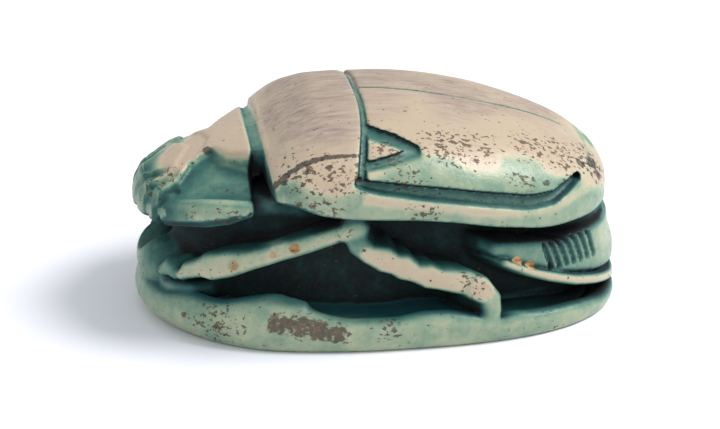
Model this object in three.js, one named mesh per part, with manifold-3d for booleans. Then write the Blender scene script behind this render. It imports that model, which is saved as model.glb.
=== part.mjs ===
// Glazed steatite scarab amulet, carved in one piece.
// Millimetres, +Z up. The origin is the middle of the flat underside, the head looks along -X,
// the tail along +X. The solid is the union of a base plate, a core, the beetle's body and its
// six legs, with the carved lines and the suspension bore cut out of it.
import * as THREE from 'three';
import { mergeVertices } from 'three/addons/utils/BufferGeometryUtils.js';
import Module from 'manifold-3d';

const wasm = await Module();
wasm.setup();

// ---- driving dimensions ----------------------------------------------------------------
const LENGTH = 18.0;
const WIDTH = 12.0;
const PLAN_POWER = { head: 2.36, tail: 2.56 }; // how square the oval plan is: 2 is an ellipse

const BASE = { thickness: 1.2, edge: 0.4, hump: 0.75, humpX: -5.0, humpReach: 1.7, noseRise: 0.3, tailDrop: 0.45, tuck: 0.075 };
const BODY = { length: 17.52, halfWidth: 5.75, tailZ: 4.6, crownZ: 8.36, crownX: -0.9, tailPower: 1.76 };
const CORE = { halfLength: 7.5, halfWidth: 4.3, bottom: 0.6, top: 5.5 };
const FLANK = { halfLength: 8.8, halfWidth: 5.72, lean: 0.1, depth: 2.2, swell: 0.16 };
const BORE = { radius: 0.8, z: 3.05 };
const BORDER = { inset: 0.85, width: 0.28, depth: 0.16 }; // the line round the underside
const LINE = { fine: 0.15, side: 0.3, neck: 0.36 }; // radii of the lines carved on the back

const COLOUR = 0x8fb09a;

// ---- helpers ---------------------------------------------------------------------------
const TINY = 1e-9; // sines and cosines below this are zero
const signedPower = (value, power) => (
  Math.abs(value) < TINY ? 0 : Math.sign(value) * Math.abs(value) ** power
);
const bump = (x, centre, reach) => Math.exp(-(((x - centre) / reach) ** 2));

// A smooth value along X from a few stations [x, value].
function stations(list) {
  const xs = list.map(([x]) => x);
  const values = list.map(([, value]) => value);
  const curve = new THREE.CubicInterpolant(xs, values, 1);
  return (x) => curve.evaluate(THREE.MathUtils.clamp(x, xs[0], xs.at(-1)))[0];
}

// The superellipse that the plan of a scarab follows.
class Oval extends THREE.Curve {
  constructor(halfLength, halfWidth, z = 0) {
    super();
    Object.assign(this, { halfLength, halfWidth, z, arcLengthDivisions: 600 });
  }
  getPoint(t, target = new THREE.Vector3()) {
    const angle = 2 * Math.PI * t;
    const power = 2 / (Math.cos(angle) < 0 ? PLAN_POWER.head : PLAN_POWER.tail);
    const x = this.halfLength * signedPower(Math.cos(angle), power);
    const y = this.halfWidth * signedPower(Math.sin(angle), power);
    return target.set(x, y, this.z);
  }
  outline(count) {
    const points = this.getSpacedPoints(count).slice(0, count);
    return points.map((p) => new THREE.Vector2(p.x, p.y));
  }
}

function solid(geometry) {
  const bare = geometry.clone();
  bare.deleteAttribute('normal');
  bare.deleteAttribute('uv');
  const merged = mergeVertices(bare, 1e-5);
  const vertProperties = Float32Array.from(merged.attributes.position.array);
  const triVerts = Uint32Array.from(merged.index.array);
  return new wasm.Manifold(new wasm.Mesh({ numProp: 3, vertProperties, triVerts }));
}

function mirrored(geometry) {
  const copy = geometry.clone().scale(1, -1, 1);
  if (!copy.index) copy.setIndex([...Array(copy.attributes.position.count).keys()]);
  const index = copy.index.array;
  for (let i = 0; i < index.length; i += 3) [index[i], index[i + 1]] = [index[i + 1], index[i]];
  return copy;
}

const bothSides = (geometry) => [geometry, mirrored(geometry)];

function mapVertices(geometry, place) {
  const position = geometry.attributes.position;
  const point = new THREE.Vector3();
  for (let i = 0; i < position.count; i += 1) {
    point.fromBufferAttribute(position, i);
    place(point);
    position.setXYZ(i, point.x, point.y, point.z);
  }
  return geometry;
}

// ---- base plate ------------------------------------------------------------------------
function basePlate() {
  const oval = new Oval(LENGTH / 2, WIDTH / 2);
  const { thickness, edge, hump, humpX, humpReach, noseRise, tailDrop, tuck } = BASE;
  const plate = new THREE.ExtrudeGeometry(new THREE.Shape(oval.outline(64)), {
    depth: thickness - edge,
    bevelThickness: edge,
    bevelSize: edge,
    bevelOffset: -edge,
    bevelSegments: 2,
  });
  plate.translate(0, 0, edge);
  // The carver left the plate thick below the shoulders and thin at the tail.
  const top = (x) => 1 + (hump * bump(x, humpX, humpReach) + noseRise * bump(x, -9, 1.4)
    - tailDrop * THREE.MathUtils.smoothstep(x, 1, 8)) / thickness;
  // Its lower edge is worn away under the head.
  const worn = (x) => tuck * THREE.MathUtils.smoothstep(-x, 4.5, 8.8);
  return mapVertices(plate, (p) => {
    if (p.z > edge + 0.01) p.z = edge + (p.z - edge) * top(p.x);
    const shrink = 1 - worn(p.x) * Math.max(0, 1 - p.z / edge);
    p.set(p.x * shrink, p.y * shrink, p.z);
  });
}

// ---- body: wing cases, prothorax and head ---------------------------------------------
const NOSE_X = -LENGTH / 2;
const TAIL_X = NOSE_X + BODY.length;
const frontKeel = stations([
  [NOSE_X, 4.62], [-8.8, 4.92], [-8.3, 5.2], [-7, 5.7], [-5.6, 6.36], [-4.8, 6.74], [-4.1, 7.3],
  [-3.3, 7.86], [-2.3, 8.24], [BODY.crownX, BODY.crownZ], [1.2, 8.2],
]);
const lowerLine = stations([
  [NOSE_X, 4.4], [-8.6, 4.0], [-8.0, 4.15], [-6.9, 4.5], [-5.6, 4.85], [-4.5, 5.4], [-3.6, 5.3],
  [-2.6, 5.0], [-1.5, 4.84], [0.6, 4.7], [2, 4.5], [4, 4.1], [6, 3.84], [TAIL_X, 3.8],
]);

function keel(x) {
  if (x < BODY.crownX) return frontKeel(x);
  const reach = Math.min(1, (x - BODY.crownX) / (TAIL_X - BODY.crownX));
  const rise = (1 - reach ** BODY.tailPower) ** (1 / BODY.tailPower);
  return BODY.tailZ + (BODY.crownZ - BODY.tailZ) * rise;
}

function halfWidth(x) {
  const middle = (NOSE_X + TAIL_X) / 2;
  const reach = Math.min(1, Math.abs(x - middle) / (BODY.length / 2));
  const power = x < middle ? PLAN_POWER.head : PLAN_POWER.tail;
  return BODY.halfWidth * (1 - reach ** power) ** (1 / power);
}

// The widest level of a section, a little above the rim's lower edge.
const widestZ = (x) => lowerLine(x) + 0.35;

// A point on the body's skin: angle 0 is the near side, 90 degrees the keel.
function skin(x, angle, lift = 0) {
  const upper = Math.sin(angle) >= 0;
  const power = upper ? 1 : 0.3;
  const level = widestZ(x);
  const height = upper ? keel(x) - level : level - lowerLine(x);
  const width = halfWidth(x) + lift;
  const y = -width * signedPower(Math.cos(angle), power);
  const z = level + (height + lift) * signedPower(Math.sin(angle), power);
  return new THREE.Vector3(x, y, z);
}

// The angle at which the skin's upper half stands at height z.
function angleAt(x, z) {
  const level = widestZ(x);
  return Math.asin(THREE.MathUtils.clamp((z - level) / (keel(x) - level), 0, 1));
}

function bodyLoft() {
  const ball = new THREE.SphereGeometry(1, 36, 42);
  ball.rotateZ(Math.PI / 2);
  return mapVertices(ball, (p) => {
    const x = THREE.MathUtils.mapLinear(p.x, -1, 1, NOSE_X, TAIL_X);
    const pole = Math.hypot(p.y, p.z) < 1e-6;
    p.copy(skin(x, pole ? 0 : Math.atan2(p.z, -p.y)));
    if (pole) p.y = 0;
  });
}

// ---- core and legs ---------------------------------------------------------------------
function core() {
  const shape = new THREE.Shape(new Oval(CORE.halfLength, CORE.halfWidth).outline(40));
  const block = new THREE.ExtrudeGeometry(shape, { depth: CORE.top - CORE.bottom, bevelEnabled: false });
  return block.translate(0, 0, CORE.bottom);
}

const flankOval = new Oval(FLANK.halfLength, FLANK.halfWidth);
const flankLength = flankOval.getLength();
const TAIL_RUN = flankLength / 4 + 0.15; // the hind legs meet behind the tail

// A point on the near flank: run is the way along the oval from its middle, towards the tail.
function flankPoint(run, z, depth) {
  const u = THREE.MathUtils.euclideanModulo(0.75 + run / flankLength, 1);
  const along = flankOval.getTangentAt(u);
  const outward = new THREE.Vector3(along.y, -along.x, 0);
  const inset = depth + FLANK.lean * (z - BASE.thickness);
  return flankOval.getPointAt(u).addScaledVector(outward, -inset).setZ(z);
}

// A limb lying on the flank, between its upper and its lower edge. Each edge is a list of
// [run, z] from the front to the back.
function limb(upper, lower, columns) {
  const edge = (list) => new THREE.SplineCurve(list.map(([run, z]) => new THREE.Vector2(run, z)));
  const [top, bottom] = [edge(upper), edge(lower)];
  const bar = new THREE.BoxGeometry(1, 1, 1, columns, 2, 1);
  return mapVertices(bar, (p) => {
    const u = p.x + 0.5;
    const spot = bottom.getPointAt(u).lerp(top.getPointAt(u), p.y + 0.5);
    const proud = p.y === 0 ? FLANK.swell : 0;
    p.copy(flankPoint(spot.x, spot.y, p.z > 0 ? -proud : FLANK.depth));
  });
}

function legs() {
  const foreleg = limb(
    [[-8.6, 2.25], [-8.35, 2.75], [-7.75, 3.1], [-7.15, 3.48], [-6.2, 3.68], [-4.6, 4.08], [-2.9, 4.56],
      [-1.2, 4.95]],
    [[-8.55, 2.1], [-8.0, 2.2], [-7.1, 2.25], [-6.2, 2.55], [-4.4, 3.27], [-2.9, 3.78], [-1.3, 4.2]],
    11,
  );
  const toes = limb(
    [[-9.8, 2.0], [-9.5, 2.5], [-8.9, 2.85], [-8.4, 2.85], [-8.2, 2.3]],
    [[-9.75, 1.3], [-9.3, 1.2], [-8.3, 1.4]],
    5,
  );
  const middleLeg = limb(
    [[-2.3, 4.9], [-1.7, 4.68], [-1.3, 4.06], [-0.4, 3.85], [0.5, 3.4], [1.4, 3.08], [2.9, 2.78],
      [3.55, 2.25], [3.8, 1.5], [3.75, 0.6]],
    [[-2.75, 4.3], [-2.25, 3.7], [-0.9, 2.99], [1.07, 2.15], [2.4, 1.78], [2.98, 1.49], [3.08, 1.2],
      [3.0, 0.6]],
    12,
  );
  const thigh = limb(
    [[3.65, 3.3], [3.95, 3.68], [4.9, 3.58], [6.4, 3.36], [8, 3.3], [10, 3.45], [TAIL_RUN, 3.5]],
    [[3.7, 3.1], [4.2, 2.8], [5.4, 2.3], [7.1, 1.66], [9, 1.2], [TAIL_RUN, 1.0]],
    10,
  );
  const shin = limb(
    [[3.8, 3.02], [4.2, 3.05], [5.4, 2.55], [7.1, 1.9], [9, 1.45], [TAIL_RUN, 1.2]],
    [[3.85, 2.75], [5.1, 2.15], [6.1, 1.8], [7.2, 1.45], [8.8, 0.9], [TAIL_RUN, 0.6]],
    10,
  );
  return [foreleg, toes, middleLeg, thigh, shin].flatMap(bothSides);
}

// ---- carved lines ----------------------------------------------------------------------
// A line carved along a run of points: a round cutter swept along it.
function carvedLine(points, radius, steps, sides = 4) {
  const path = new THREE.CatmullRomCurve3(points);
  const section = new THREE.Shape(new THREE.EllipseCurve(0, 0, radius, radius).getPoints(sides).slice(0, sides));
  return new THREE.ExtrudeGeometry(section, { steps, extrudePath: path, bevelEnabled: false });
}

// Points on the skin, or lift(t) above it, where route(t) gives [x, angle].
function onSkin(route, count, lift = () => 0) {
  return Array.from({ length: count + 1 }, (_, i) => skin(...route(i / count), lift(i / count)));
}

function bodyLines() {
  const crossX = (angle) => -0.75 - 0.6 * Math.cos(angle) ** 2;
  const acrossBack = (x, margin) => (t) => {
    const angle = THREE.MathUtils.lerp(margin, Math.PI - margin, t);
    return [x(angle), angle];
  };
  const cross = carvedLine(onSkin(acrossBack(crossX, 0.3), 14), LINE.fine, 16);
  const suture = carvedLine(onSkin((t) => [THREE.MathUtils.lerp(-0.75, 6.9, t), Math.PI / 2], 8), LINE.fine, 9);
  const neckX = (angle) => -5.02 + 0.25 * Math.cos(angle) ** 2;
  const neckRoute = acrossBack(neckX, -0.25);
  const neckDepth = (t) => 0.22 * Math.sin(Math.PI * t) ** 4; // shallower over the top
  const neck = carvedLine(onSkin(neckRoute, 14, neckDepth), LINE.neck, 16, 6);

  const sideLevel = stations([[-1.4, 6.2], [0, 6.08], [1.5, 5.72], [3, 5.38], [5, 5.1], [6, 5.25], [6.7, 5.6]]);
  const sideRoute = (t) => {
    const x = THREE.MathUtils.lerp(-1.4, 6.7, t);
    return [x, angleAt(x, sideLevel(x))];
  };
  const side = carvedLine(onSkin(sideRoute, 10, () => 0.08), LINE.side, 12, 5);

  const shoulder = [[-0.9, 7.3], [-0.1, 7.12], [0.75, 6.78], [-0.1, 6.72], [-1.1, 6.62]];
  const notch = carvedLine(shoulder.map(([x, z]) => skin(x, angleAt(x, z))), LINE.fine, 10);
  return [cross, suture, neck, ...bothSides(side), ...bothSides(notch)];
}

// The sunk cheek between the head's middle plate and its side lobe.
function cheek() {
  const plan = new THREE.Shape([[-5.0, -1.85], [-5.0, -4.4], [-6.2, -4.2], [-7.3, -3.6], [-8.0, -2.75], [-6.6, -2.0]]
    .map(([x, y]) => new THREE.Vector2(x, y)));
  const cutter = new THREE.ExtrudeGeometry(plan, { depth: 4, bevelEnabled: false });
  const floor = (x) => 5.5 + 0.16 * (x + 5);
  return mapVertices(cutter, (p) => { p.z += floor(p.x); });
}

// Furrows that part the teeth along the front edge of the head.
function toothFurrows() {
  const furrow = (inner, outer) => {
    const run = [];
    for (let i = 0; i <= 5; i += 1) {
      const x = THREE.MathUtils.lerp(inner[0], outer[0], i / 5);
      const y = THREE.MathUtils.lerp(inner[1], outer[1], i / 5);
      const width = Math.max(halfWidth(x), Math.abs(y) + 1e-3);
      const angle = Math.acos(THREE.MathUtils.clamp(-y / width, -1, 1));
      run.push(skin(x, angle));
    }
    return carvedLine(run, LINE.fine, 5);
  };
  const pairs = [[[-6.6, -0.7], [-8.98, -0.75]], [[-7.0, -1.6], [-8.82, -1.9]], [[-7.4, -2.5], [-8.45, -3.0]]];
  return pairs.flatMap(([inner, outer]) => bothSides(furrow(inner, outer)));
}

function undersideBorder() {
  const inset = (distance) => new Oval(LENGTH / 2 - distance, WIDTH / 2 - distance).outline(48);
  const ring = new THREE.Shape(inset(BORDER.inset));
  ring.holes.push(new THREE.Path(inset(BORDER.inset + BORDER.width)));
  const cutter = new THREE.ExtrudeGeometry(ring, { depth: 2 * BORDER.depth, bevelEnabled: false });
  return cutter.translate(0, 0, -BORDER.depth);
}

function suspensionBore() {
  const { radius, z } = BORE;
  return new THREE.CylinderGeometry(radius, radius, LENGTH + 2, 12).rotateZ(Math.PI / 2).translate(0, 0, z);
}

// ---- the scarab ------------------------------------------------------------------------
function scarabGeometry() {
  const added = [basePlate(), core(), bodyLoft(), ...legs()].map(solid);
  const cut = [...bodyLines(), ...bothSides(cheek()), ...toothFurrows(), undersideBorder(), suspensionBore()];
  const whole = added.reduce((sum, piece) => sum.add(piece));
  const carved = cut.map(solid).reduce((sum, piece) => sum.subtract(piece), whole);
  const mesh = carved.getMesh();
  const geometry = new THREE.BufferGeometry();
  geometry.setAttribute('position', new THREE.BufferAttribute(mesh.vertProperties, 3));
  geometry.setIndex(new THREE.BufferAttribute(mesh.triVerts, 1));
  return geometry;
}

const scarab = new THREE.Mesh(
  scarabGeometry(),
  new THREE.MeshStandardMaterial({ color: COLOUR, roughness: 0.45, metalness: 0 }),
);
scarab.name = 'scarab';

const amulet = new THREE.Group();
amulet.add(scarab);

export default amulet;
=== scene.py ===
"""Scarab amulet of glazed steatite: the carved piece, its worn glaze and a plain stage.

The CAD model is the frame. The carving is worked out as one distance field in millimetres,
in the same place as the CAD solid, and is turned into one closed mesh that stands for it.
"""

import bmesh
import bpy
import numpy as np
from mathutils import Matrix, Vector


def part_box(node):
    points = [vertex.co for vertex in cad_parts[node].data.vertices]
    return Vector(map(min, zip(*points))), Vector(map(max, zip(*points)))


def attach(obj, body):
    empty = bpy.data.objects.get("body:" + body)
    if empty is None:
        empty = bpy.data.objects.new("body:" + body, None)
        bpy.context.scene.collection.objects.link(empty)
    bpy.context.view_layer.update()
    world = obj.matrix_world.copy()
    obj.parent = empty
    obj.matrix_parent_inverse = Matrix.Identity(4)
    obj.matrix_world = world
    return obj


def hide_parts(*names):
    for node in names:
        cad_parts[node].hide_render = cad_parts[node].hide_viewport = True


bl_info = {
    "name": "Scarab Amulet",
    "version": (1, 0, 0),
    "blender": (4, 5, 0),
    "location": "View3D > Sidebar > Scarab",
    "description": "Builds a carved and glazed steatite scarab on its CAD frame",
    "category": "Object",
}

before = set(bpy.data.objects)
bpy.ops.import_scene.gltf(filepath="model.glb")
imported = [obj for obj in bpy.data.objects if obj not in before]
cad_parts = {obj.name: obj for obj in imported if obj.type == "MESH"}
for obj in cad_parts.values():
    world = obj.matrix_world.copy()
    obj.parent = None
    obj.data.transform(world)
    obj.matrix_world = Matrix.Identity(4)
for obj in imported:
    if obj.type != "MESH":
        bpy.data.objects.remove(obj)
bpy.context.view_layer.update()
SOLID_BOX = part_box("scarab")

# ==== numbers and helpers of the carving, all in millimetres ====
MM = 0.001  # a millimetre in metres
LENGTH, WIDTH = 18.0, 12.0  # the stations below are given for this size
HEAD_POWER = 2.36  # how square the oval plan is: 2 is an ellipse
TAIL_POWER = 2.56
TINY = 1e-9
FAR = 1e3  # farther than any point


def smooth_min(a, b, k):
    """The smaller of two distances, rounded where they meet over about k."""
    h = np.clip(0.5 + 0.5 * (b - a) / k, 0.0, 1.0)
    return b + (a - b) * h - k * h * (1.0 - h)


def smooth_max(a, b, k):
    return -smooth_min(-a, -b, k)


def smoothstep(low, high, x):
    t = np.clip((x - low) / (high - low), 0.0, 1.0)
    return t * t * (3.0 - 2.0 * t)


class Curve:
    """A smooth value along a line, through stations (place, value), without overshoot."""

    SAMPLES = 800

    def __init__(self, *stations):
        x, y = np.array(stations, float).T
        step = np.diff(x)
        rise = np.diff(y) / step
        slope = np.empty_like(x)
        slope[0], slope[-1] = rise[0], rise[-1]
        same = rise[:-1] * rise[1:] > 0
        before, after = step[:-1], step[1:]
        mean = (before + after) * 3.0
        blend = mean / ((2 * after + before) / np.where(same, rise[:-1], 1)
                        + (after + 2 * before) / np.where(same, rise[1:], 1))
        slope[1:-1] = np.where(same, blend, 0.0)
        self.places = np.linspace(x[0], x[-1], self.SAMPLES)
        part = np.clip(np.searchsorted(x, self.places, side="right") - 1, 0, len(x) - 2)
        t = (self.places - x[part]) / step[part]
        self.values = (
            y[part] * (1 + 2 * t) * (1 - t) ** 2 + y[part + 1] * t * t * (3 - 2 * t)
            + step[part] * (slope[part] * t * (1 - t) ** 2 - slope[part + 1] * t * t * (1 - t))
        )

    def __call__(self, x):
        return np.interp(x, self.places, self.values)


class Noise:
    """Soft seeded noise from -1 to 1 on points, with lumps about as large as size."""

    CELLS = 32  # a power of two
    OFFSET = 7.31  # keeps the lattice's corners off the middle plane

    def __init__(self, seed):
        self.lattice = np.random.RandomState(seed).uniform(-1, 1, (self.CELLS,) * 3)

    def __call__(self, x, y, z, size):
        cells, parts = [], []
        for value in (x, y, z):
            value = np.asarray(value) / size + self.OFFSET
            low = np.floor(value)
            part = value - low
            cell = low.astype(int)
            cells.append((cell & (self.CELLS - 1), (cell + 1) & (self.CELLS - 1)))
            parts.append(part * part * (3 - 2 * part))
        total = 0.0
        for i in (0, 1):
            for j in (0, 1):
                for k in (0, 1):
                    weight = ((parts[0] if i else 1 - parts[0]) * (parts[1] if j else 1 - parts[1])
                              * (parts[2] if k else 1 - parts[2]))
                    total = total + weight * self.lattice[cells[0][i], cells[1][j], cells[2][k]]
        return total


class Oval:
    """The oval plan of a scarab, squarer at the tail than at the head."""

    SAMPLES = 4001  # odd, so that one lies in the middle of the flank

    def __init__(self, half_length, half_width, centre=0.0):
        self.half_length, self.half_width, self.centre = half_length, half_width, centre
        angle = np.linspace(0, np.pi, self.SAMPLES)
        power = 2 / np.where(np.cos(angle) < 0, HEAD_POWER, TAIL_POWER)
        x = half_length * np.sign(np.cos(angle)) * np.abs(np.cos(angle)) ** power
        y = half_width * np.abs(np.sin(angle)) ** power
        length = np.concatenate([[0], np.cumsum(np.hypot(np.diff(x), np.diff(y)))])
        self.angle = angle
        self.run_at = length[self.SAMPLES // 2] - length

    def polar(self, x, side):
        """Radius (1 on the oval) and distance outside it."""
        across = x - self.centre
        power = np.where(across < 0, HEAD_POWER, TAIL_POWER)
        u = np.abs(across) / self.half_length + TINY
        v = side / self.half_width + TINY
        radius = (u ** power + v ** power) ** (1 / power)
        slope = radius ** (1 - power) * np.hypot(u ** (power - 1) / self.half_length,
                                                 v ** (power - 1) / self.half_width)
        return radius, (radius - 1) / slope

    def outside(self, x, side):
        return self.polar(x, side)[1]

    def run(self, x, side):
        """The way along the oval from the middle of its flank, towards the tail."""
        across = x - self.centre
        power = np.where(across < 0, HEAD_POWER, TAIL_POWER) / 2
        u = np.sign(across) * (np.abs(across) / self.half_length) ** power
        v = (side / self.half_width) ** power
        return np.interp(np.arctan2(v, u), self.angle, self.run_at)

    def half_width_at(self, x):
        across = (x - self.centre) / self.half_length
        power = np.where(across < 0, HEAD_POWER, TAIL_POWER)
        return self.half_width * np.clip(1 - np.abs(across) ** power, 1e-6, 1) ** (1 / power)


def chain(u, v, knots):
    """Distance to a run of tapering capsules; a knot is (u, v, radius)."""
    best = np.full(np.shape(u), FAR)
    for (u0, v0, r0), (u1, v1, r1) in zip(knots, knots[1:]):
        du, dv = u1 - u0, v1 - v0
        t = np.clip(((u - u0) * du + (v - v0) * dv) / (du * du + dv * dv), 0, 1)
        np.minimum(best, np.hypot(u - u0 - t * du, v - v0 - t * dv) - r0 - t * (r1 - r0), out=best)
    return best


def chain3(x, y, z, knots):
    """The same in space; a knot is (x, y, z, radius)."""
    best = np.full(np.shape(x), FAR)
    for a, b in zip(knots, knots[1:]):
        d = np.subtract(b[:3], a[:3])
        t = np.clip(((x - a[0]) * d[0] + (y - a[1]) * d[1] + (z - a[2]) * d[2]) / (d @ d), 0, 1)
        gap = np.sqrt((x - a[0] - t * d[0]) ** 2
                      + (y - a[1] - t * d[1]) ** 2
                      + (z - a[2] - t * d[2]) ** 2)
        np.minimum(best, gap - a[3] - t * (b[3] - a[3]), out=best)
    return best


def polygon(x, y, corners):
    """Distance to a polygon, negative inside."""
    best = np.full(np.shape(x), FAR ** 2)
    sign = np.ones(np.shape(x))
    for (x0, y0), (x1, y1) in zip(corners, corners[1:] + corners[:1]):
        ex, ey = x1 - x0, y1 - y0
        wx, wy = x - x0, y - y0
        t = np.clip((wx * ex + wy * ey) / (ex * ex + ey * ey), 0, 1)
        np.minimum(best, (wx - ex * t) ** 2 + (wy - ey * t) ** 2, out=best)
        above, below, left = y >= y0, y < y1, ex * wy > ey * wx
        flip = (above & below & left) | (~above & ~below & ~left)
        sign = np.where(flip, -sign, sign)
    return sign * np.sqrt(best)


def channel(distance, half_width):
    """A groove's cross-section: 1 along its floor, 0 outside it."""
    return 1 - smoothstep(0.4 * half_width, half_width, np.abs(distance))


# ==== the form ====
wobble = Noise(11)  # the slight unevenness of carving by hand

BASE_OVAL = Oval(LENGTH / 2, WIDTH / 2)
BODY_OVAL = Oval(8.76, 5.75, -0.24)
FLANK_OVAL = Oval(8.8, 5.72)
CORE_OVAL = Oval(7.6, 3.85)

# height of the back along its middle
keel_line = Curve(
    (-4.9, 6.55), (-4.5, 6.86), (-4.1, 7.16), (-3.7, 7.42), (-3.3, 7.6), (-2.8, 7.82), (-2.3, 7.97),
    (-1.6, 8.03), (-0.9, 8.05), (0, 8.03), (1, 7.95), (2, 7.81), (3, 7.62), (4, 7.38), (5, 7.08),
    (6, 6.71), (7, 6.22), (7.6, 5.86), (8.1, 5.48), (8.35, 5.2), (8.52, 4.75))
# how square the back's cross-section is
section_power = Curve((-4.9, 1.85), (-4.4, 1.95), (-3, 2.5), (8.5, 2.5))
body_taper = Curve((-5, 0.84), (-4.6, 0.87), (-4.0, 0.95), (-3.1, 1.0), (9, 1.0))  # narrower at the neck
head_keel = Curve(
    (-9.0, 4.55), (-8.8, 5.0), (-8.4, 5.36), (-7.8, 5.74), (-7.1, 6.08), (-6.2, 6.42), (-5.2, 6.76),
    (-4.4, 7.0))
head_width = Curve(
    (-9.0, 0.5), (-8.8, 1.4), (-8.4, 2.2), (-7.8, 2.9), (-7.1, 3.25), (-6.2, 3.45), (-5.2, 3.85),
    (-4.4, 4.4))
# height of the lower rim of the wing cases and the head
lower_line = Curve(
    (-9.0, 4.05), (-8.6, 3.95), (-8.0, 4.12), (-6.9, 4.5), (-5.6, 4.85), (-4.5, 5.4), (-3.6, 5.3),
    (-2.6, 5.0), (-1.5, 4.84), (0.6, 4.7), (2, 4.5), (4, 4.1), (6, 3.84), (8.52, 3.85))
# height of the base's upper edge along its flank
base_edge = Curve(
    (-14, 1.6), (-11.7, 1.6), (-9.7, 1.45), (-8.4, 1.72), (-7.1, 1.66), (-5.9, 1.88), (-5.0, 2.0),
    (-4.3, 1.9), (-3.7, 1.78), (-3.4, 1.58), (-2.9, 1.41), (-2.5, 1.32), (-1.7, 1.21), (-0.1, 1.2),
    (1.05, 1.34), (2.0, 1.31), (2.9, 1.14), (3.8, 0.92), (4.6, 1.02), (5.4, 0.94), (6.7, 0.88),
    (7.6, 0.82), (9.4, 0.6), (10.1, 0.6), (14, 0.6))


RIM_RISE = 0.35  # from the rim's lower line up to the widest level of the body
HEAD_RIM_RISE = 0.3
HEAD_SECTION_POWER = 2.2
UNDERSIDE_POWER = 5  # how square a section is below its widest level


def widest(x):
    return lower_line(x) + RIM_RISE


def half_width(x):
    return BODY_OVAL.half_width_at(x) * body_taper(x)


def rise_at(x):
    return np.maximum(keel_line(x) - widest(x), 0.05)


def dome_ratio(side, z, wide, level, rise, drop, power):
    """1 on the skin of a dome: a soft arch above its widest level, squarer below."""
    across = side / wide
    above = (across ** power + (np.abs(z - level) / rise) ** power) ** (1 / power)
    below = np.sqrt(across ** 2 + (np.abs(z - level) / drop) ** UNDERSIDE_POWER)
    return np.where(z >= level, above, below)


def body_ratio(x, side, z):
    return dome_ratio(side, z, half_width(x), widest(x), rise_at(x), RIM_RISE, section_power(x))


def head_ratio(x, side, z):
    level = lower_line(x) + HEAD_RIM_RISE
    rise = np.maximum(head_keel(x) - level, 0.1)
    return dome_ratio(side, z, head_width(x), level, rise, HEAD_RIM_RISE, HEAD_SECTION_POWER)


def dome_distance(ratio_at, x, side, z):
    """A ratio's distance to 1, in millimetres, from its slope."""
    step = 0.02
    ratio = ratio_at(x, side, z)
    slope = np.sqrt((ratio_at(x + step, side, z) - ratio) ** 2
                    + (ratio_at(x, side + step, z) - ratio) ** 2
                    + (ratio_at(x, side, z + step) - ratio) ** 2) / step
    return (ratio - 1) / np.maximum(slope, 0.05)


# the groove along the side of the wing cases
GROOVE_ENDS = (-1.4, 6.85)
GROOVE_DEPTH = 0.3
groove_level = Curve(
    (-1.4, 6.3), (-1.0, 6.17), (0.1, 5.98), (1.9, 5.67), (3.75, 5.3), (5.1, 5.06), (5.7, 5.06),
    (6.15, 5.2), (6.8, 5.42))
groove_width = Curve((-1.5, 0.2), (-0.6, 0.27), (2, 0.33), (4.5, 0.33), (6.0, 0.27), (7.0, 0.16))


def skin_angle(x, side, z):
    """How far round the skin a point is: 0 at the widest level, 90 degrees on the keel."""
    half = section_power(x) / 2
    up = (z - widest(x)) / rise_at(x)
    return np.arctan2(np.sign(up) * np.abs(up) ** half, (side / half_width(x)) ** half)


CROSS_X = -0.75  # the line across the back, where the prothorax ends
CROSS_FOOT = 6.15  # the level that it comes down to
SUTURE_END = 6.9
SUTURE_HALF_WIDTH, SUTURE_DEPTH = 0.14, 0.12
MARK_HALF_WIDTH, MARK_DEPTH = 0.2, 0.15
SHOULDER_MARK = [(-0.9, 7.58, 0), (0.05, 7.36, 0), (0.77, 7.07, 0), (0.0, 6.92, 0), (-1.1, 6.76, 0)]
suture_bow = Curve((-0.8, -0.05), (1.0, 0.15), (3.0, 0.3), (5.0, 0.25), (7.0, 0.05))
NECK_X = -4.62
NOSE_X = -8.98


def carved_lines(x, side, z, y):
    """How deep the lines carved on the back cut, at each point."""
    angle = skin_angle(x, side, z)
    top = smoothstep(0.5, 1.45, angle)
    cross = np.abs(x - (CROSS_X - 0.6 * np.cos(angle) ** 2)) + 2 * np.maximum(CROSS_FOOT - z, 0)
    suture = np.abs(y + suture_bow(x)) + np.maximum(CROSS_X - x, 0) * 3 + np.maximum(x - SUTURE_END, 0) * 2
    groove_x = np.clip(x, *GROOVE_ENDS)
    groove = np.hypot(z - groove_level(groove_x), 1.1 * (x - groove_x))
    mark = chain(x, z, SHOULDER_MARK)
    deep = channel(cross, 0.2 - 0.05 * top) * (0.2 - 0.09 * top)  # finer over the top
    deep = np.maximum(deep, channel(suture, SUTURE_HALF_WIDTH) * SUTURE_DEPTH * (z > 5))
    on_flank = angle < 1.2
    deep = np.maximum(deep, np.where(on_flank, channel(groove, groove_width(x)) * GROOVE_DEPTH, 0))
    return np.maximum(deep, np.where(on_flank, channel(mark, MARK_HALF_WIDTH) * MARK_DEPTH, 0))


def neck_line(x, z):
    """How deep the line between head and prothorax cuts: wide below, fine over the top."""
    high = smoothstep(5.2, 6.9, z)
    return channel(x - NECK_X, 0.44 - 0.14 * high) * (0.5 - 0.4 * high)


def body(x, side, z, y):
    """The prothorax and the wing cases."""
    f = dome_distance(body_ratio, x, side, z)
    f = smooth_max(f, BODY_OVAL.outside(x, side), 0.06)
    f = smooth_max(f, NECK_X + 0.05 - x, 0.3)
    return f + np.where(np.abs(f) < 1.0, carved_lines(x, side, z, y), 0)


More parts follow.
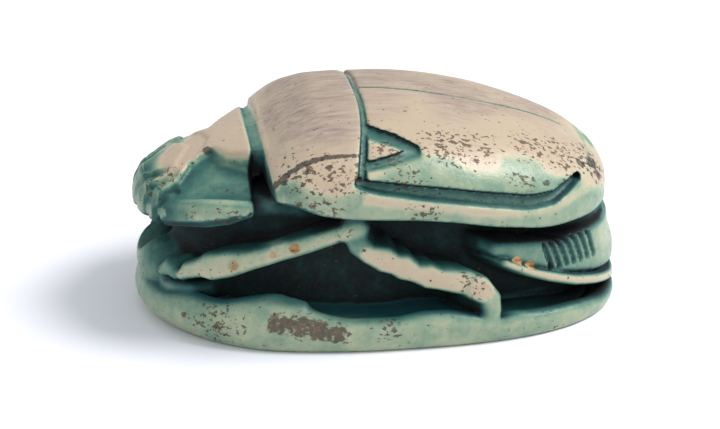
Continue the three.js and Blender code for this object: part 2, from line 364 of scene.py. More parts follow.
CHEEK = [(-4.2, 2.9), (-4.2, 4.7), (-6.2, 4.3), (-7.3, 3.8), (-8.1, 3.3), (-7.8, 2.93), (-7.57, 2.32),
         (-7.28, 1.91), (-6.94, 1.4), (-6.56, 1.15), (-6.14, 1.05), (-5.71, 1.81), (-5.18, 2.3)]
LOBE = [(-5.2, 4.35, 5.14, 0.3), (-5.9, 4.2, 5.02, 0.45), (-6.6, 3.85, 4.88, 0.5), (-7.3, 3.3, 4.74, 0.47),
        (-7.85, 2.75, 4.58, 0.38), (-8.2, 2.3, 4.46, 0.28)]
TOOTH_FURROWS = [((-7.9, 1.18), (-9.1, 0.55)), ((-7.6, 1.78), (-9.1, 1.66)),
                 ((-7.62, 2.45), (-8.7, 2.75))]
BROW = [(-6.55, 0.0, 0.1), (-6.75, 0.55, 0.16), (-7.15, 1.2, 0.05)]  # a dent across the forehead
FAR_CHEEK_DROP = 0.3


def cheek_floor(x, side):
    return 5.62 + 0.24 * (x + 6) - 0.32 * (side - 2.5)


def head(x, side, z, far):
    """The head's middle plate, sunk cheeks, side lobes and toothed front edge."""
    lowered = z + FAR_CHEEK_DROP * far  # the far cheek was cut lower
    plate = dome_distance(head_ratio, x, side, z)
    slab = smooth_max(BODY_OVAL.outside(x, side) + 0.35, lowered - 5.3, 0.25)
    slab = smooth_max(slab, lower_line(x) + 0.05 - z, 0.2)
    f = smooth_min(plate, slab, 0.25)
    cheek = smooth_max(polygon(x, side, CHEEK), cheek_floor(x, side) - lowered, 0.2)
    f = smooth_max(f, -cheek, 0.16)
    f = smooth_min(f, chain3(x, side, lowered, LOBE), 0.2)
    near_skin = (np.abs(f) < 1.0) & (x < -6.0)
    for (x0, y0), (x1, y1) in TOOTH_FURROWS:
        gap = chain(x, side, [(x0, y0, 0), (x1, y1, 0)])
        f = f + np.where(near_skin, channel(gap, 0.26) * 0.16, 0)
    brow = chain(x, side, BROW)
    f = f + np.where(near_skin & (z > 5), channel(np.maximum(brow, 0), 0.35) * 0.09, 0)
    f = smooth_max(f, NOSE_X - x, 0.1)
    return smooth_max(f, x - NECK_X - 0.6, 0.2)


BASE_WIDEST = 0.62  # the level at which the base plate is widest


def base(x, side, z, y):
    """The base plate, rounded in its height, worn below the head and dished on top."""
    run = BASE_OVAL.run(x, side)
    out = BASE_OVAL.outside(x, side)
    edge = base_edge(run)
    bulge = ((z - BASE_WIDEST) / 0.6) ** 2
    out = out + 0.16 * bulge * (z < BASE_WIDEST) + 0.1 * bulge * (z > BASE_WIDEST)
    worn = smoothstep(4.5, 8.8, -x)
    out = out + worn * 0.55 * np.clip(1 - z / 0.75, 0, 1) ** 1.5
    out = out + 0.045 * wobble(x, y, z * 0.5, 2.1) + 0.04
    dish = (0.16 + 0.9 * np.maximum(edge - 1.25, 0)) * smoothstep(0.3, 0.9, -out)
    top = z - (edge - dish)
    f = smooth_max(out, top, 0.34)
    return smooth_max(f, -z, 0.16)


# The limbs on the flank, as (run along the flank, height, half thickness).
FORELEG = [(-1.4, 4.55, 0.34), (-2.33, 4.32, 0.34), (-3.56, 3.96, 0.37), (-4.5, 3.68, 0.38),
           (-5.55, 3.32, 0.4), (-6.4, 3.08, 0.52), (-7.1, 2.9, 0.55), (-7.62, 2.74, 0.38),
           (-8.1, 2.55, 0.34), (-8.4, 2.3, 0.22)]
TOE = [(-9.55, 2.15, 0.26), (-9.1, 2.42, 0.36), (-8.75, 2.3, 0.3)]
TOE_FOOT = [(-9.6, 1.5, 0.35), (-8.3, 1.6, 0.4)]
MIDDLE_LEG = [(-1.75, 4.55, 0.5), (-1.5, 3.95, 0.44), (-1.1, 3.58, 0.38), (-0.5, 3.36, 0.5),
              (-0.1, 3.16, 0.42), (0.25, 3.03, 0.5), (0.7, 2.78, 0.38), (1.2, 2.64, 0.48),
              (1.6, 2.5, 0.42), (2.03, 2.42, 0.46), (2.6, 2.3, 0.5), (3.0, 2.08, 0.52)]
MIDDLE_FOOT = [(3.0, 2.08, 0.5), (3.38, 1.7, 0.4), (3.42, 1.25, 0.36), (3.36, 0.7, 0.3)]
THIGH = [(4.0, 3.35, 0.3), (4.7, 3.17, 0.42), (5.96, 2.86, 0.56), (6.66, 2.64, 0.62), (7.45, 2.6, 0.76),
         (8.5, 2.5, 0.9), (9.6, 2.45, 0.98), (12.0, 2.45, 1.0)]
SHIN = [(4.1, 2.87, 0.16), (5.2, 2.36, 0.18), (6.0, 2.06, 0.2), (7.1, 1.68, 0.2), (8.7, 1.27, 0.2),
        (10.1, 0.95, 0.22), (12.0, 0.85, 0.25)]
SERRATIONS = np.arange(6.0, 8.4, 0.36)  # slanted cuts on the hind leg
SERRATION_HALF_WIDTH, SERRATION_DEPTH = 0.13, 0.13
LIMB_REACH = 2.3  # the limbs end this far in, inside the core


def legs(x, side, z):
    run = FLANK_OVAL.run(x, side)
    out = FLANK_OVAL.outside(x, side) + 0.1 * (z - 1.2) * (1 - smoothstep(6.5, 9.5, run))

    def limb(knots, inset=0.0, rounding=0.3):
        return smooth_max(chain(run, z, knots), out + inset, rounding)

    foreleg = limb(FORELEG)
    middle = smooth_min(limb(MIDDLE_LEG), limb(MIDDLE_FOOT, -0.14, 0.24), 0.1)
    f = smooth_min(foreleg, middle, 0.12)
    f = smooth_min(f, limb(TOE, 0.02), 0.08)
    f = smooth_min(f, limb(TOE_FOOT, 0.25), 0.1)
    behind = smoothstep(7.5, 10.5, run)  # the hind legs close in a block behind the tail
    thigh = limb(THIGH, 0.14 - 0.2 * behind + 0.25 * behind * smoothstep(2.0, 3.2, z))
    shin = limb(SHIN, -0.06 - 0.04 * behind, 0.2)
    for place in SERRATIONS:
        cut = chain(run, z, [(place - 0.1, 3.2, 0.0), (place + 0.16, 2.35, 0.0)])
        thigh = thigh + channel(cut, SERRATION_HALF_WIDTH) * SERRATION_DEPTH
    f = smooth_min(f, smooth_min(thigh, shin, 0.08), 0.1)
    return np.where(out < -LIMB_REACH, 1.0, f)


def core(x, side, z, y):
    """The block that the limbs stand out from, with the rump and the chest."""
    wall = CORE_OVAL.outside(x, side) + 0.12 * wobble(x, y, z, 1.7)
    wall = smooth_max(wall, z - 5.2, 0.3)
    rump = np.sqrt(((x - 6.3) / 2.15) ** 2 + (side / 3.4) ** 2 + ((z - 2.8) / 2.4) ** 2)
    rump = (rump - 1) * 2.1
    chest = np.sqrt(((x + 7.6) / 1.3) ** 2 + (side / 2.1) ** 2 + ((z - 1.9) / 1.25) ** 2)
    chest = (chest - 1) * 1.25
    return smooth_min(smooth_min(wall, rump, 0.5), chest, 0.35)


BORE_RADIUS, BORE_Z = 0.8, 3.05
BORDER_INSET, BORDER_HALF_WIDTH, BORDER_DEPTH = 0.99, 0.16, 0.14


def bore(y, z):
    return BORE_RADIUS - np.hypot(y, z - BORE_Z)


def underside_border(x, side, z):
    out = BASE_OVAL.outside(x, side)
    return channel(out + BORDER_INSET, BORDER_HALF_WIDTH) * BORDER_DEPTH * (z < 0.5)


def field(x, y, z):
    """Distance in millimetres to the surface of the carved piece, negative inside."""
    far = smoothstep(-1.0, 2.0, y)  # the far side is cut a little differently from the near one
    lift = smoothstep(0.3, 1.5, z)
    x = x + far * lift * 0.12 * wobble(x + 9, y, z, 4.0)
    z = z + far * lift * 0.1 * wobble(x, y + 5, z, 3.6)
    side = np.sqrt(y * y + 1e-6)
    f = smooth_min(body(x, side, z, y), head(x, side, z, smoothstep(0.5, 3.0, y)), 0.12)
    f = f + np.where((np.abs(f) < 1) & (z > 4.3), neck_line(x, z), 0)
    f = f + 0.02 * wobble(x, y, z, 1.1) + 0.035 * wobble(x, y, z + 3, 2.6)
    f = smooth_min(f, core(x, side, z, y), 0.18)
    f = smooth_min(f, legs(x, side, z), 0.14)
    f = smooth_min(f, base(x, side, z, y), 0.12)
    f = smooth_max(smooth_max(f, -z, 0.05), bore(y, z), 0.08)
    return f + underside_border(x, side, z)


# ==== from the field to a mesh ====
def sample_field(low, spacing, counts):
    """The field on a grid; only points near the surface are worked out in full."""
    axes = [low[i] + spacing * np.arange(counts[i]) for i in range(3)]
    stride = 4
    coarse_axes = [a[::stride] for a in axes]
    cx, cy, cz = np.meshgrid(*coarse_axes, indexing="ij")
    coarse = field(cx.ravel(), cy.ravel(), cz.ravel()).reshape(cx.shape)
    near = np.abs(coarse) < spacing * stride * 1.9
    grown = near.copy()
    for axis in range(3):
        grown |= np.roll(grown, 1, axis) | np.roll(grown, -1, axis)
    index = [np.minimum((np.arange(counts[i]) + stride // 2) // stride, len(coarse_axes[i]) - 1)
             for i in range(3)]
    values = coarse[np.ix_(*index)]
    mask = grown[np.ix_(*index)]
    i, j, k = np.nonzero(mask)
    out = np.empty(len(i))
    chunk = 400000
    for start in range(0, len(i), chunk):
        part = slice(start, start + chunk)
        out[part] = field(axes[0][i[part]], axes[1][j[part]], axes[2][k[part]])
    values[i, j, k] = out
    return axes, values


def surface_net(axes, values):
    """A quad mesh of the zero surface: one vertex in each cell that it crosses."""
    inside = values < 0
    shape = np.array(values.shape) - 1
    corners = [(a, b, c) for a in (0, 1) for b in (0, 1) for c in (0, 1)]

    def corner(array, a, b, c):
        return array[a:shape[0] + a, b:shape[1] + b, c:shape[2] + c]

    count = sum(corner(inside, *c).astype(np.int8) for c in corners)
    active = (count > 0) & (count < 8)
    cell = np.argwhere(active)
    number = -np.ones(shape, int)
    number[active] = np.arange(len(cell))
    total = np.zeros((len(cell), 3))
    hits = np.zeros(len(cell))
    for a in corners:
        for axis in range(3):
            if a[axis]:
                continue
            b = list(a)
            b[axis] = 1
            va = corner(values, *a)[active]
            vb = corner(values, *b)[active]
            cut = (va < 0) != (vb < 0)
            t = np.where(cut, va / np.where(cut, va - vb, 1), 0)
            place = np.tile(np.array(a, float), (len(cell), 1))
            place[:, axis] += t
            total += place * cut[:, None]
            hits += cut
    spacing = axes[0][1] - axes[0][0]
    origin = np.array([a[0] for a in axes])
    points = origin + spacing * (cell + total / hits[:, None])
    quads = []
    for axis in range(3):
        u, v = (axis + 1) % 3, (axis + 2) % 3
        here = [slice(1, None)] * 3
        here[axis] = slice(None)
        low = [slice(None)] * 3
        low[axis] = slice(0, -1)
        high = [slice(None)] * 3
        high[axis] = slice(1, None)
        cut = inside[tuple(low)] != inside[tuple(high)]
        starts = inside[tuple(low)]
        edge = np.argwhere(cut)
        ok = (edge[:, u] > 0) & (edge[:, v] > 0) & (edge[:, u] < shape[u]) & (edge[:, v] < shape[v])
        edge = edge[ok]
        ring = []
        for du, dv in ((-1, -1), (0, -1), (0, 0), (-1, 0)):
            spot = edge.copy()
            spot[:, u] += du
            spot[:, v] += dv
            ring.append(number[spot[:, 0], spot[:, 1], spot[:, 2]])
        quad = np.stack(ring, 1)
        outward = starts[edge[:, 0], edge[:, 1], edge[:, 2]]
        quads.append(np.where(outward[:, None], quad, quad[:, ::-1]))
    return points, np.concatenate(quads)


def gradient(points, step=0.02):
    """The field's slope at each point, outwards."""
    x, y, z = points.T
    return np.stack([
        field(x + step, y, z) - field(x - step, y, z),
        field(x, y + step, z) - field(x, y - step, z),
        field(x, y, z + step) - field(x, y, z - step),
    ], 1) / (2 * step)


def settle(points, rounds=2):
    """Moves points onto the surface."""
    for _ in range(rounds):
        g = gradient(points)
        value = field(*points.T)
        size = np.maximum((g ** 2).sum(1), 0.15)
        move = -(value / size)[:, None] * g
        length = np.linalg.norm(move, axis=1, keepdims=True)
        points = points + move * np.minimum(1, 0.04 / np.maximum(length, 1e-9))
    return points


def largest_part(points, quads):
    """Drops crumbs and sealed hollows: keeps the largest connected surface."""
    label = np.arange(len(points))
    while True:
        low = label[quads].min(1)
        fresh = label.copy()
        for corner in range(4):
            np.minimum.at(fresh, quads[:, corner], low)
        fresh = fresh[fresh]
        if (fresh == label).all():
            break
        label = fresh
    keep_label = np.bincount(label).argmax()
    keep = label == keep_label
    renumber = np.cumsum(keep) - 1
    return points[keep], renumber[quads[keep[quads[:, 0]]]]


def carve(spacing):
    """The carved piece's points and quads, from a grid of this spacing in millimetres."""
    margin = 0.35
    tallest = 8.5
    low = (-LENGTH / 2 - margin, -WIDTH / 2 - margin, -margin)
    size = (LENGTH + 2 * margin, WIDTH + 2 * margin, tallest + 2 * margin)
    counts = [int(np.ceil(s / spacing)) + 1 for s in size]
    axes, values = sample_field(low, spacing, counts)
    points, quads = surface_net(axes, values)
    points, quads = largest_part(points, quads)
    return settle(points), quads


# ==== what the glaze and the painted pocket shade follow ====
# Marks on the near side: (x, y, z, radius), in millimetres.
BURNT = [(-4.3, -5.6, 1.15, 0.55), (-3.6, -5.75, 1.1, 0.6), (-2.9, -5.85, 0.95, 0.55), (-2.2, -5.9, 0.8, 0.5),
         (-5.6, -5.3, 0.9, 0.35), (-6.5, -4.8, 0.8, 0.4), (-6.3, -4.9, 0.45, 0.3), (-7.6, -3.9, 1.0, 0.3),
         (6.2, -4.5, 0.55, 0.3), (5.9, -4.7, 0.5, 0.25)]
SOOT = [(-4.3, -4.3, 5.9, 0.3), (-3.9, -4.9, 6.25, 0.22), (-3.2, -5.0, 6.6, 0.2), (-2.4, -5.1, 6.8, 0.18),
        (-1.4, -5.1, 6.9, 0.15), (7.2, -3.0, 5.9, 0.4), (7.8, -2.4, 5.6, 0.5), (7.9, -2.6, 5.1, 0.3),
        (5.5, -4.45, 5.55, 0.22), (-6.3, -1.0, 6.2, 0.25), (0.8, -2.2, 7.95, 0.2), (-8.4, -2.6, 2.9, 0.5)]
BARE = [(-6.6, -4.55, 2.95, 0.5), (-6.0, -4.9, 3.15, 0.6), (-5.3, -5.15, 3.35, 0.5),
        (-4.5, -5.3, 3.65, 0.45), (-3.7, -5.4, 3.9, 0.4), (-3.0, -5.5, 4.1, 0.3),
        (4.4, -5.0, 2.85, 0.25), (4.9, -4.9, 2.6, 0.25)]
SCRATCH = [(-4.5, -4.7, 5.9, 0.1), (-3.8, -4.8, 6.6, 0.09), (-3.2, -4.75, 6.9, 0.09),
           (-2.5, -4.75, 7.05, 0.07), (-1.3, -4.8, 7.1, 0.04)]  # a dark scratch across the near shoulder
SPECKLED = [(-3.2, -4.9, 6.3, 1.3), (-2.0, -5.2, 6.4, 1.1), (-2.6, -5.5, 5.2, 0.9), (-0.2, -4.6, 7.0, 0.9),
            (1.9, -4.2, 7.1, 1.2), (3.0, -4.0, 6.9, 1.0), (5.2, -3.3, 6.6, 1.1), (6.4, -3.0, 6.2, 1.2),
            (7.6, -2.4, 5.6, 1.2), (0.5, -5.2, 6.2, 0.7), (4.5, -4.6, 5.6, 0.7), (-7.4, -4.2, 4.9, 0.6),
            (-6.0, -4.7, 5.0, 0.6), (-2.0, -5.5, 4.5, 0.6), (2.6, -5.6, 2.4, 0.6), (-6.5, -4.8, 0.9, 1.2),
            (-0.3, -5.9, 0.8, 0.7), (0.9, -5.9, 4.9, 0.8), (-8.0, -1.6, 5.2, 0.9), (3.0, -5.4, 1.9, 0.5)]


def marked(points, blobs):
    """1 in the middle of any blob, fading to 0 at its radius."""
    best = np.zeros(len(points))
    for x, y, z, radius in blobs:
        gap = np.linalg.norm(points - np.array([x, y, z]), axis=1)
        best = np.maximum(best, 1 - smoothstep(0.35 * radius, 1.25 * radius, gap))
    return best


LINE_SHADE_DEPTH = 0.12  # a line this deep holds the darkest glaze
FAR_SPECKS_SHIFT = 0.7  # keeps the far side's marks from mirroring the near side's
FAR_BURNT_SHIFT = -1.1
# the level above which the back is rubbed, along the scarab
worn_line = Curve((-9, 5.3), (-7.5, 5.6), (-6.2, 5.9), (-4.6, 6.3), (-3, 6.3), (-1, 6.6), (1, 6.9),
                  (3, 6.6), (5, 6.1), (6.5, 5.5), (8.6, 4.6))


def cream_edges(x, side, z, on_back):
    """Where the glaze lies thin: the faces of the limbs, and the rim below the side groove."""
    run = FLANK_OVAL.run(x, side)
    out = FLANK_OVAL.outside(x, side) + 0.1 * (z - 1.2)
    on_leg = np.minimum(chain(run, z, SHIN), chain(run, z, FORELEG))
    on_leg = np.minimum(chain(run, z, MIDDLE_LEG[2:]), on_leg)
    limb_face = smoothstep(0.05, -0.2, on_leg) * smoothstep(-0.7, -0.2, out)
    rim_top = smoothstep(0.3, 0.05, np.abs(z - groove_level(x) + 0.42)) * (x > -1.2)
    rim_top = rim_top * smoothstep(7.8, 7.0, x)
    return np.maximum(limb_face, 0.7 * rim_top * on_back)


def sunk_cheek(x, side, z):
    """The floor of the cheeks, where glaze has pooled."""
    sunk = smoothstep(0.15, -0.25, polygon(x, side, CHEEK)) * smoothstep(4.95, 5.25, z)
    return sunk * smoothstep(0.28, 0.02, z - cheek_floor(x, side)) * smoothstep(4.1, 3.5, side)


def pool(x, side, z, up):
    """The top of the base behind its edge, where glaze has pooled."""
    wet = smoothstep(0.75, 0.95, z) * smoothstep(2.2, 1.6, z)
    wet = wet * smoothstep(-0.3, -0.55, BASE_OVAL.outside(x, side))
    return wet * smoothstep(0.3, 0.8, up)


def glaze_masks(points, normals):
    """Per-point values from 0 to 1 that the material reads, by name."""
    x, y, z = points.T
    side = np.abs(y)

    def beyond(distance):
        return field(*(points + normals * distance).T) / distance

    on_back = smoothstep(4.4, 4.9, z)
    # painted shade: the core's wall below the rim, deep in the pockets, is marked dark
    core_shade = smoothstep(-0.6, -1.3, FLANK_OVAL.outside(x, side)) * smoothstep(4.9, 4.4, z)
    core_shade = core_shade * smoothstep(0.6, 1.0, z)
    # painted shade, with some dark soil: the less open the skin is, the darker the pocket
    pocket_soil_and_shade = np.clip(1 - beyond(1.3), 0, 1) * 0.6 + np.clip(1 - beyond(0.6), 0, 1) * 0.4
    lines = np.clip(carved_lines(x, side, z, y) / LINE_SHADE_DEPTH, 0, 1) * on_back
    neck = np.clip(neck_line(x, z) / LINE_SHADE_DEPTH, 0, 1) * on_back
    uneven = 0.45 * wobble(x, y, z, 1.7) + 0.2 * wobble(x, y, z + 7, 0.7)
    worn_level = worn_line(x)
    far = 1 - smoothstep(1.0, -0.5, y)
    mirror = points * np.array([1.0, -1.0, 1.0])
    far_specks = 0.8 * marked(mirror + FAR_SPECKS_SHIFT, SPECKLED) * far
    scratch = smoothstep(0.12, -0.02, chain3(x, y, z, SCRATCH))
    return {
        "cavity": np.clip(1 - beyond(0.2), 0, 1),
        "pocket_soil_and_shade": np.maximum(pocket_soil_and_shade, core_shade),
        "ridge": np.clip(1 + beyond(-0.3), 0, 1),
        "cream": cream_edges(x, side, z, on_back),
        "lines": np.maximum(np.maximum(lines, neck), sunk_cheek(x, side, z)),
        "top": smoothstep(-0.35, 0.35, z + uneven - worn_level),
        "bare_top": smoothstep(-0.2, 0.5, z + uneven - worn_level - 0.75),
        "wet_floor": pool(x, side, z, normals[:, 2]),
        "burnt": np.maximum(marked(points, BURNT), 0.7 * marked(mirror + FAR_BURNT_SHIFT, BURNT)),
        "soot": np.maximum(marked(points, SOOT), scratch),
        "bare": marked(points, BARE),
        "speckled": np.maximum(marked(points, SPECKLED), far_specks),
    }


# ==== materials ====
def linear(hex_colour):
    """An sRGB hex colour as linear RGBA."""
    value = [int(hex_colour[i:i + 2], 16) / 255 for i in (1, 3, 5)]
    return (*[c / 12.92 if c <= 0.04045 else ((c + 0.055) / 1.055) ** 2.4 for c in value], 1.0)


def add(tree, kind, links=None, **settings):
    """Adds a node: settings name its properties, links its inputs (a socket or a value)."""
    node = tree.nodes.new(kind)
    for name, value in settings.items():
        setattr(node, name, value)
    for name, value in (links or {}).items():
        socket = node.inputs[name]
        if isinstance(value, bpy.types.NodeSocket):
            tree.links.new(value, socket)
        else:
            socket.default_value = value
    return node


def glazed_steatite(pool_colour, stain_colour):
    """Green-blue glaze on soft grey-brown stone: glossy and dark where thick, rubbed away on top, with
    painted shade deep in the pockets.
    """
    material = bpy.data.materials.new("glazed steatite")
    material.use_nodes = True
    tree = material.node_tree
    shader = tree.nodes["Principled BSDF"]

    def mask(name):
        return add(tree, "ShaderNodeAttribute", attribute_name=name).outputs["Fac"]

    def maths(operation, a, b=0.5, c=0.5, clamp=False):
        inputs = {0: a, 1: b, 2: c}
        return add(tree, "ShaderNodeMath", inputs, operation=operation, use_clamp=clamp).outputs[0]

    position = add(tree, "ShaderNodeTexCoord").outputs["Object"]

    def noise(per_mm, detail=3.0, stretch=(1, 1, 1), roughness=0.55):
        scale = [part / MM for part in stretch]
        placed = add(tree, "ShaderNodeMapping", {"Vector": position, "Scale": scale}).outputs[0]
        inputs = {"Vector": placed, "Scale": per_mm, "Detail": detail, "Roughness": roughness}
        return add(tree, "ShaderNodeTexNoise", inputs).outputs["Fac"]

    def threshold(value, low, high):
        inputs = {"Value": value, "From Min": low, "From Max": high}
        return add(tree, "ShaderNodeMapRange", inputs, interpolation_type="SMOOTHSTEP").outputs[0]

    def ramp(value, stops):
        node = add(tree, "ShaderNodeValToRGB", {"Fac": value})
        node.color_ramp.elements.remove(node.color_ramp.elements[1])
        for index, (place, colour) in enumerate(stops):
            element = node.color_ramp.elements[0] if index == 0 else node.color_ramp.elements.new(place)
            element.position = place
            element.color = linear(colour)
        return node.outputs[0]

    def mix(share, a, b):
        return add(tree, "ShaderNodeMix", {"Factor": share, 6: a, 7: b}, data_type="RGBA").outputs[2]

    patchy = noise(1.3, 4.0)  # patches of thinner glaze, under a millimetre across
    mottled = noise(5.0, 3.0)
    streaks = noise(2.2, 3.0, (0.35, 2.2, 2.2))  # rubbing along the back, 0.2 mm wide

    # How thick the glaze lies: thin on edges, thick in hollows. In the pockets the value also carries painted
    # shade, which runs it almost black.
    glaze = 0.64
    for name, share in (("lines", 0.14), ("cavity", 0.22), ("pocket_soil_and_shade", 0.62), ("ridge", -0.34)):
        glaze = maths("MULTIPLY_ADD", mask(name), share, glaze)
    glaze = maths("MULTIPLY_ADD", patchy, 0.3, maths("SUBTRACT", glaze, 0.15))
    glaze = maths("MULTIPLY_ADD", mottled, 0.12, maths("SUBTRACT", glaze, 0.06))
    glaze = maths("MULTIPLY_ADD", mask("cream"), -0.26, glaze)
    worn = maths("MULTIPLY", mask("top"), maths("SUBTRACT", 1.0, mask("lines")))
    glaze = maths("MULTIPLY_ADD", worn, -0.42, glaze)
    colour = ramp(glaze, [
        (0.0, "#B9A68C"), (0.14, "#BFB196"), (0.24, "#A3AC8E"), (0.36, "#7A957C"),
        (0.48, "#557C6A"), (0.62, "#2A5F56"), (0.78, "#0A4140"), (0.9, "#032222"), (1.0, "#010505")])
    colour = mix(maths("MULTIPLY", mask("wet_floor"), 0.8), colour, pool_colour)

    # Where the back is rubbed bare the stone shows, tan and faintly pink.
    stone = ramp(streaks, [(0.25, "#85756A"), (0.5, "#A08F80"), (0.75, "#B4A494")])
    bare_back = maths("MULTIPLY", mask("bare_top"), maths("SUBTRACT", 1.0, mask("lines")))
    colour = mix(maths("MULTIPLY", bare_back, 0.92), colour, stone)
    ochre = ramp(noise(3.0, 3.0, (0.6, 1, 1.6)), [(0.3, "#6E4A24"), (0.5, "#A07A48"), (0.72, "#CDB48A")])
    bare = threshold(maths("MULTIPLY_ADD", patchy, 0.5, mask("bare")), 0.55, 0.8)
    colour = mix(bare, colour, ochre)

    # Brown specks of iron, 0.05 to 0.3 mm, in clusters.
    grains = noise(6.5, 2.5, (0.75, 1, 1), 0.6)
    specks = threshold(maths("ADD", grains, maths("MULTIPLY", mask("speckled"), 0.14)), 0.66, 0.72)
    burnt = threshold(maths("MULTIPLY_ADD", mask("burnt"), 0.42, grains), 0.66, 0.82)
    soot = threshold(maths("MULTIPLY_ADD", mask("soot"), 0.5, maths("MULTIPLY", grains, 0.9)), 0.62, 0.85)
    brown = ramp(mottled, [(0.3, "#2A1C14"), (0.6, "#5A4030"), (0.75, "#7C6248")])
    colour = mix(maths("MULTIPLY", specks, 0.85), colour, brown)
    colour = mix(maths("MULTIPLY", burnt, 0.85), colour, brown)
    colour = mix(maths("MULTIPLY", soot, 0.85), colour, stain_colour)
    tree.links.new(colour, shader.inputs["Base Color"])

    # Glaze is glossy. Rubbed stone, specks and the soil in the pockets are dull.
    dull = maths("MAXIMUM", maths("MAXIMUM", specks, burnt), maths("MAXIMUM", bare, bare_back))
    rough = maths("MULTIPLY_ADD", dull, 0.28, 0.26)
    rough = maths("MULTIPLY_ADD", mask("pocket_soil_and_shade"), 0.5, rough)
    tree.links.new(maths("MULTIPLY_ADD", mottled, 0.16, rough, clamp=True), shader.inputs["Roughness"])
    shader.inputs["IOR"].default_value = 1.5
    height = maths("MULTIPLY_ADD", specks, -0.6, maths("MULTIPLY", mottled, 0.5))
    height = maths("MULTIPLY_ADD", noise(14.0, 2.0), 0.25, height)
    bump_node = add(tree, "ShaderNodeBump", {"Height": height, "Strength": 0.55, "Distance": 0.00006})
    tree.links.new(bump_node.outputs[0], shader.inputs["Normal"])
    return material


# ==== building ====

def place_in_frame(points):
    """Design millimetres to the CAD solid's place in metres."""
    low, high = np.array(SOLID_BOX[0]), np.array(SOLID_BOX[1])
    middle = (low + high) / 2
    scale = (high - low)[:2] / (np.array([LENGTH, WIDTH]) * MM)
    placed = points * MM
    placed[:, 0] = placed[:, 0] * scale[0] + middle[0]
    placed[:, 1] = placed[:, 1] * scale[1] + middle[1]
    placed[:, 2] += low[2]
    return placed


def build_scarab(settings):
    """The carved piece, thinned, with the values that its glaze and its painted pocket shade follow, in place
    of the CAD solid.
    """
    points, quads = carve(settings.grain / MM)
    mesh = bpy.data.meshes.new("carved_scarab")
    mesh.from_pydata(points.tolist(), [], quads.tolist())
    piece = bpy.data.objects.new("carved_scarab", mesh)
    bpy.context.scene.collection.objects.link(piece)
    triangles = 2 * len(quads)
    if triangles > settings.most_triangles:
        thin = piece.modifiers.new("thin", "DECIMATE")
        thin.ratio = settings.most_triangles / triangles
        evaluated = piece.evaluated_get(bpy.context.evaluated_depsgraph_get())
        mesh = bpy.data.meshes.new_from_object(evaluated)
        piece.modifiers.remove(thin)
        piece.data = mesh
    flat = np.empty(len(mesh.vertices) * 3)
    mesh.vertices.foreach_get("co", flat)
    points = settle(flat.reshape(-1, 3), 1)
    normals = gradient(points)
    normals /= np.maximum(np.linalg.norm(normals, axis=1, keepdims=True), 1e-6)
    for name, values in glaze_masks(points, normals).items():
        attribute = mesh.attributes.new(name, "FLOAT", "POINT")
        attribute.data.foreach_set("value", values.astype(np.float32))
    mesh.vertices.foreach_set("co", place_in_frame(points).ravel())
    mesh.shade_smooth()
    mesh.update()
    mesh.materials.append(glazed_steatite(tuple(settings.pool_colour), tuple(settings.stain_colour)))
    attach(piece, "root")
    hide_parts("scarab")
    return piece


# In metres. The camera stands a little to the left, so the scarab sits right of the middle.
FLOOR_SIZE = 1.5
TARGET_HEIGHT = 0.003
SIDEWAYS = 0.000541


def build_stage(settings):
    """A pale floor, a key and a fill lamp, and the camera."""
    scene = bpy.context.scene
    low, high = (np.array(corner) for corner in SOLID_BOX)
    bm = bmesh.new()
    bmesh.ops.create_grid(bm, x_segments=1, y_segments=1, size=FLOOR_SIZE)
    mesh = bpy.data.meshes.new("floor")
    bm.to_mesh(mesh)
    bm.free()
    floor = bpy.data.objects.new("floor", mesh)
    scene.collection.objects.link(floor)
    floor.location.z = low[2]
    paper = bpy.data.materials.new("matt white card")
    paper.use_nodes = True
    shader = paper.node_tree.nodes["Principled BSDF"]
    shader.inputs["Base Color"].default_value = settings.floor_colour
    shader.inputs["Roughness"].default_value = 0.9
    mesh.materials.append(paper)

    world = bpy.data.worlds.new("studio")
    world.use_nodes = True
    background = world.node_tree.nodes["Background"]
    background.inputs["Color"].default_value = settings.studio_colour
    background.inputs["Strength"].default_value = 0.7
    scene.world = world

    def lamp(name, place, size, power):
        light = bpy.data.lights.new(name, "AREA")
        light.shape = "DISK"
        light.size = size
        light.energy = power
        holder = bpy.data.objects.new(name, light)
        holder.location = place
        aim = Vector((0, 0, 0.004)) - Vector(place)
        holder.rotation_euler = aim.to_track_quat("-Z", "Y").to_euler()
        scene.collection.objects.link(holder)

    lamp("key", place=(0.12, -0.02, 0.16), size=0.10, power=0.34)
    lamp("fill", place=(-0.1, -0.2, 0.15), size=0.12, power=0.05)

    azimuth, elevation = settings.azimuth, settings.elevation
    back = Vector((np.sin(azimuth) * np.cos(elevation),
                   -np.cos(azimuth) * np.cos(elevation),
                   np.sin(elevation)))
    right = Vector((np.cos(azimuth), np.sin(azimuth), 0))
    target = Vector(((low[0] + high[0]) / 2, (low[1] + high[1]) / 2, low[2] + TARGET_HEIGHT))
    camera = bpy.data.cameras.new("camera")
    camera.sensor_width = 36
    camera.lens = settings.lens
    camera.clip_start = 0.005
    camera.clip_end = 10
    holder = bpy.data.objects.new("camera", camera)
    holder.location = target + back * settings.camera_distance - right * SIDEWAYS
    holder.rotation_euler = back.to_track_quat("Z", "Y").to_euler()
    scene.collection.objects.link(holder)
    scene.camera = holder
    scene.view_settings.view_transform = "Standard"


# ==== the add-on ====
def colour_property(name, description, hex_colour):
    return bpy.props.FloatVectorProperty(name=name, description=description, default=linear(hex_colour),
                                         subtype="COLOR", size=4, min=0.0, max=1.0)


class ScarabSettings(bpy.types.PropertyGroup):
    grain: bpy.props.FloatProperty(
        name="Grain", description="Spacing of the grid that the carving is cut from",
        default=0.000085, min=0.00005, max=0.0005, unit="LENGTH", precision=6)
    most_triangles: bpy.props.IntProperty(
        name="Most triangles", description="The mesh is thinned to this many triangles",
        default=195000, min=10000)
    pool_colour: colour_property("Pool", "Colour of the glaze that has run together on the base", "#0A4F55")
    stain_colour: colour_property("Stain", "Colour of the dark stains and of the scratch", "#2B2620")


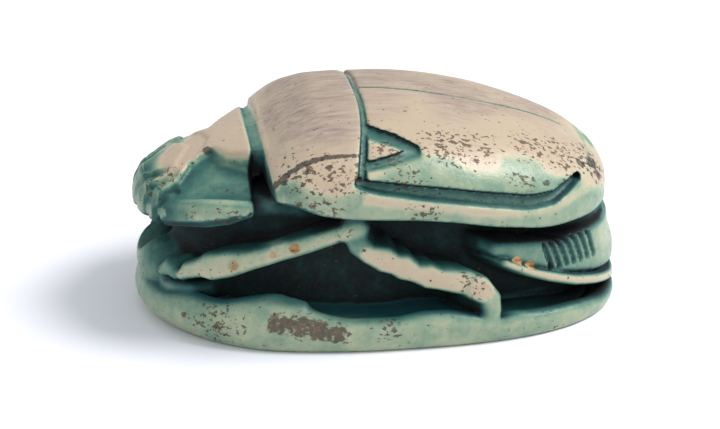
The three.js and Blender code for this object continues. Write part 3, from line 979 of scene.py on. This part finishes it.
class StageSettings(bpy.types.PropertyGroup):
    azimuth: bpy.props.FloatProperty(
        name="Azimuth", description="Turn of the camera from straight at the near flank",
        default=np.radians(-8.5), subtype="ANGLE")
    elevation: bpy.props.FloatProperty(
        name="Elevation", description="Height angle of the camera",
        default=np.radians(21.0), subtype="ANGLE")
    camera_distance: bpy.props.FloatProperty(
        name="Distance", description="From the camera to the middle of the scarab",
        default=0.1, unit="LENGTH")
    lens: bpy.props.FloatProperty(
        name="Lens", description="Focal length in millimetres on a 36 mm sensor", default=134.0)
    floor_colour: colour_property("Floor", "Colour of the card that the scarab lies on", "#F4F5F9")
    studio_colour: colour_property("Studio", "Colour of the light from all round", "#F6F8FF")


class SCARAB_OT_carve(bpy.types.Operator):
    """Carve and glaze the scarab"""

    bl_idname = "scarab.carve"
    bl_label = "Carve scarab"

    def execute(self, context):
        build_scarab(context.scene.scarab_settings)
        return {"FINISHED"}


class SCARAB_OT_stage(bpy.types.Operator):
    """Set the floor, the lights and the camera"""

    bl_idname = "scarab.stage"
    bl_label = "Set stage"

    def execute(self, context):
        build_stage(context.scene.scarab_stage)
        return {"FINISHED"}


class SCARAB_PT_panel(bpy.types.Panel):
    bl_idname = "SCARAB_PT_panel"
    bl_label = "Scarab"
    bl_space_type = "VIEW_3D"
    bl_region_type = "UI"
    bl_category = "Scarab"

    def draw(self, context):
        for group in (context.scene.scarab_settings, context.scene.scarab_stage):
            for name in group.__annotations__:
                self.layout.prop(group, name)
        self.layout.operator(SCARAB_OT_carve.bl_idname)
        self.layout.operator(SCARAB_OT_stage.bl_idname)


CLASSES = (ScarabSettings, StageSettings, SCARAB_OT_carve, SCARAB_OT_stage, SCARAB_PT_panel)


def register():
    for each in CLASSES:
        bpy.utils.register_class(each)
    bpy.types.Scene.scarab_settings = bpy.props.PointerProperty(type=ScarabSettings)
    bpy.types.Scene.scarab_stage = bpy.props.PointerProperty(type=StageSettings)


def unregister():
    del bpy.types.Scene.scarab_stage
    del bpy.types.Scene.scarab_settings
    for each in reversed(CLASSES):
        bpy.utils.unregister_class(each)


def main():
    register()
    bpy.ops.scarab.carve()
    bpy.ops.scarab.stage()


if __name__ == "__main__":
    main()
